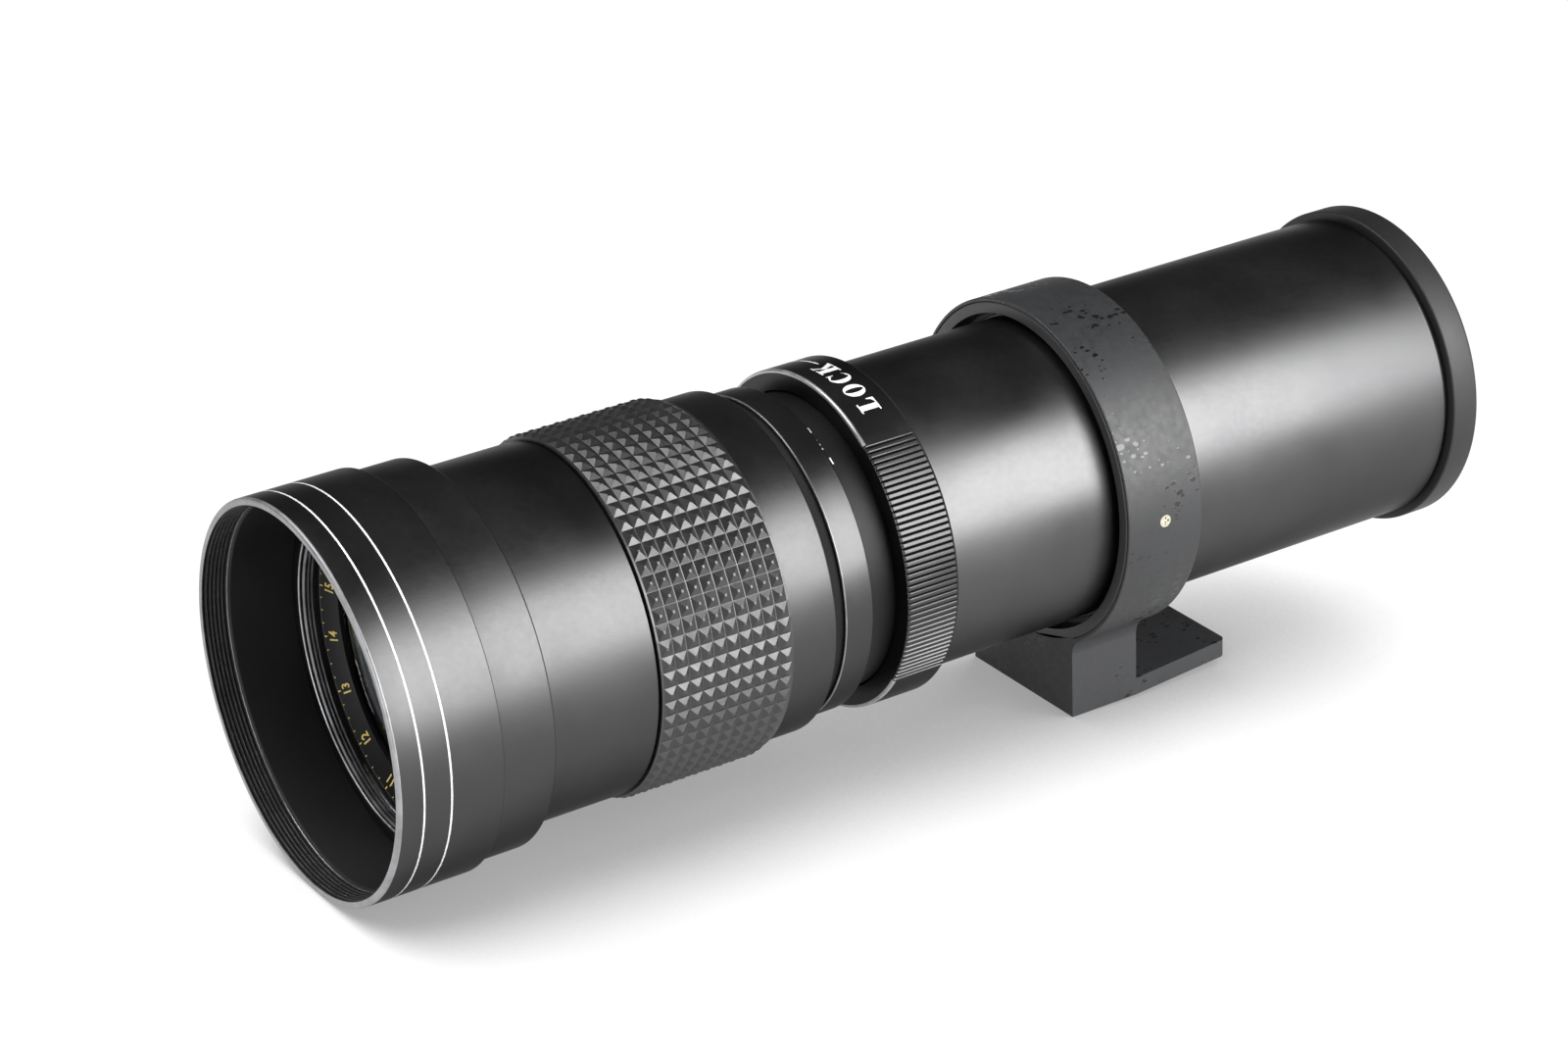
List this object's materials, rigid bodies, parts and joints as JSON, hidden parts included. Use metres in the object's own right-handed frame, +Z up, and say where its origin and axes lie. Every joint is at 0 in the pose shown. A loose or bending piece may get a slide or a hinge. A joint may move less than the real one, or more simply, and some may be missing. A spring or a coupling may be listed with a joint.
{
  "type": "super telephoto zoom lens",
  "caption": "Manual push-pull super telephoto zoom lens with rubber focus grip, lock ring, sliding hood, rotating tripod collar with foot, and a threaded camera mount.",
  "frame": {"origin": "centre of the camera thread, on the seat face of the rear flange", "axes": "+Y along the optical axis towards the camera, +Z up, away from the tripod foot"},
  "size_m": [0.0734, 0.2451, 0.0824],
  "materials": {
    "barrel_paint": "fine matt black paint",
    "white_paint": "white enamel fill",
    "felt": "black felt",
    "black_anodised": "black anodised",
    "lock_anodised": "black anodised, bright knurl",
    "tube_satin": "satin black paint",
    "coated_glass": "coated optical glass",
    "flat_black": "flat black",
    "rubber": "moulded rubber pyramids",
    "plain_metal": "plain turned metal",
    "brass": "turned brass",
    "mount_metal": "black anodised, satin",
    "collar_paint": "gray satin enamel",
    "screw_metal": "nickel plated"
  },
  "bodies": {
    "barrel": {"main_tube": "tube_satin", "lock_collet": "flat_black", "stop_sleeve": "black_anodised", "rear_flange": "tube_satin", "camera_mount_ring": "mount_metal", "rear_cell": "black_anodised", "rear_front_lens": "coated_glass", "rear_spacer": "black_anodised", "rear_middle_lens": "coated_glass", "rear_back_lens": "coated_glass", "rear_cell_ring": "black_anodised"},
    "tripod_collar": {"tripod_collar": "collar_paint", "collar_bushing": "black_anodised", "collar_screws": "screw_metal", "tripod_bush": "plain_metal"},
    "lock_ring": {"lock_ring": "lock_anodised"},
    "draw_tube": {"draw_tube": "black_anodised", "index_ring": "black_anodised", "focus_retaining_ring": "plain_metal", "guide_key": "brass", "draw_slide_ring": "flat_black", "draw_baffles": "flat_black"},
    "focus_ring": {"focus_sleeve": "barrel_paint", "focus_grip": "rubber"},
    "front_barrel": {"front_barrel": "barrel_paint", "name_ring": "black_anodised", "front_cell": "black_anodised", "crown_lens": "coated_glass", "flint_lens": "coated_glass", "front_cell_ring": "black_anodised", "front_baffle": "flat_black"},
    "hood": {"hood_shell": "barrel_paint", "hood_base_ring": "barrel_paint", "hood_line_inlays": "white_paint", "hood_felt": "felt"}
  },
  "joints": [
    {"name": "collar_turn", "type": "hinge", "parent": "barrel", "child": "tripod_collar", "pos_m": [0, -0.078, 0], "axis": [0, 1, 0], "continuous": true},
    {"name": "lock_turn", "type": "hinge", "parent": "barrel", "child": "lock_ring", "pos_m": [0, -0.1287, 0], "axis": [0, 1, 0], "range_deg": [0, 45]},
    {"name": "zoom_slide", "type": "slide", "parent": "barrel", "child": "draw_tube", "axis": [0, -1, 0], "range_m": [0, 0.088]},
    {"name": "focus_turn", "type": "hinge", "parent": "draw_tube", "child": "focus_ring", "pos_m": [0, -0.17, 0], "axis": [0, 1, 0], "range_deg": [0, 270]},
    {"name": "focus_travel", "type": "slide", "parent": "draw_tube", "child": "front_barrel", "axis": [0, -1, 0], "range_m": [0, 0.012]},
    {"name": "hood_slide", "type": "slide", "parent": "front_barrel", "child": "hood", "axis": [0, 1, 0], "range_m": [0, 0.0165]}
  ],
  "couplings": [
    {"joint": "focus_travel", "follows": "focus_turn", "m_per_rad": 0.002546}
  ]
}
